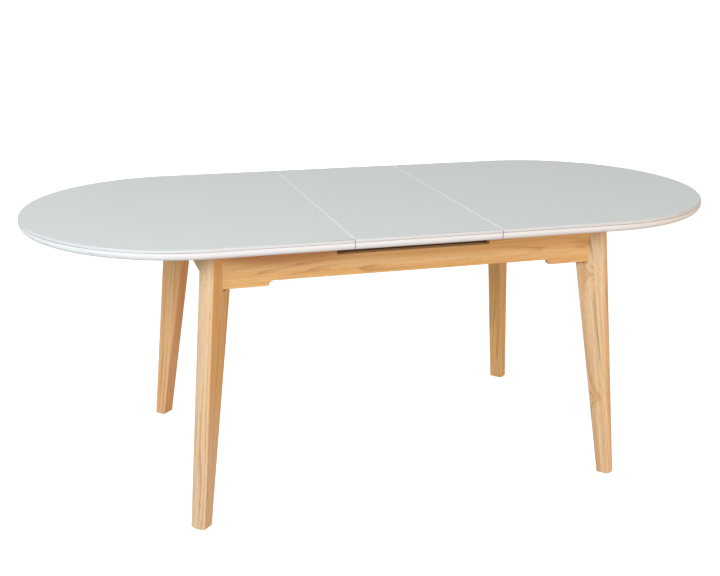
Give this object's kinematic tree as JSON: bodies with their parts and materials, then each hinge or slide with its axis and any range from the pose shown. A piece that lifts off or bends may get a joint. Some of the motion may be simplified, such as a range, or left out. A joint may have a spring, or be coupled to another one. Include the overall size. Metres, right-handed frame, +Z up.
{
  "type": "extending dining table",
  "caption": "Oval extending dining table with a white top, a folding middle leaf that stows under it, and light wood splayed legs and aprons.",
  "frame": {"origin": "on the floor, under the centre of the table", "axes": "+X along the length to the right half, +Y to the back, +Z up; the pictured long side faces -Y"},
  "size_m": [2, 0.9, 0.773],
  "materials": {
    "white_lacquer": "satin white lacquer on board",
    "light_wood": "clear oiled light wood",
    "inner_wood": "plain sanded wood",
    "steel": "zinc plated",
    "plastic": "moulded nylon"
  },
  "bodies": {
    "base": {"front_apron": "light_wood", "rear_apron": "light_wood", "left_apron": "light_wood", "right_apron": "light_wood", "leg_front_left": "light_wood", "leg_front_right": "light_wood", "leg_rear_left": "light_wood", "leg_rear_right": "light_wood", "corner_block_front_left": "inner_wood", "corner_block_front_right": "inner_wood", "corner_block_rear_left": "inner_wood", "corner_block_rear_right": "inner_wood", "hanger_bolts": "steel", "bolt_nuts": "steel", "foot_glides": "plastic", "runner_front": "inner_wood", "runner_rear": "inner_wood", "cross_rail_left": "inner_wood", "cross_rail_right": "inner_wood", "pivot_plate_left": "steel", "pivot_plate_right": "steel"},
    "left_top": {"left_top_panel": "white_lacquer", "left_slider_front": "inner_wood", "left_slider_rear": "inner_wood"},
    "right_top": {"right_top_panel": "white_lacquer", "right_slider_front": "inner_wood", "right_slider_rear": "inner_wood"},
    "front_arms": {"front_swing_shaft": "steel", "front_arm_left": "steel", "front_arm_right": "steel", "front_arm_spacers": "plastic"},
    "rear_arms": {"rear_swing_shaft": "steel", "rear_arm_left": "steel", "rear_arm_right": "steel", "rear_arm_spacers": "plastic"},
    "leaf_front": {"leaf_front_panel": "white_lacquer", "leaf_lugs": "steel", "lug_pins": "steel", "front_hinge_cups": "steel"},
    "leaf_rear": {"leaf_rear_panel": "white_lacquer", "rear_hinge_cups": "steel"}
  },
  "joints": [
    {"name": "left_top_slide", "type": "slide", "parent": "base", "child": "left_top", "axis": [-1, 0, 0], "range_m": [0, 0.04]},
    {"name": "right_top_slide", "type": "slide", "parent": "base", "child": "right_top", "axis": [1, 0, 0], "range_m": [0, 0.04]},
    {"name": "front_arm_swing", "type": "hinge", "parent": "base", "child": "front_arms", "pos_m": [0, -0.13218, 0.665], "axis": [-1, 0, 0], "range_deg": [0, 147.3]},
    {"name": "rear_arm_swing", "type": "hinge", "parent": "base", "child": "rear_arms", "pos_m": [0, 0.01782, 0.665], "axis": [-1, 0, 0], "range_deg": [0, 147.3]},
    {"name": "leaf_carry", "type": "hinge", "parent": "front_arms", "child": "leaf_front", "pos_m": [0, -0.235, 0.731], "axis": [-1, 0, 0], "range_deg": [-147.3, 0]},
    {"name": "leaf_fold", "type": "hinge", "parent": "leaf_front", "child": "leaf_rear", "pos_m": [0, 0, 0.7733], "axis": [1, 0, 0], "range_deg": [0, 180]}
  ],
  "couplings": [
    {"joint": "rear_arm_swing", "follows": "front_arm_swing", "ratio": 1},
    {"joint": "leaf_carry", "follows": "front_arm_swing", "ratio": -1},
    {"joint": "leaf_fold", "follows": "front_arm_swing", "ratio": 1.2219}
  ]
}
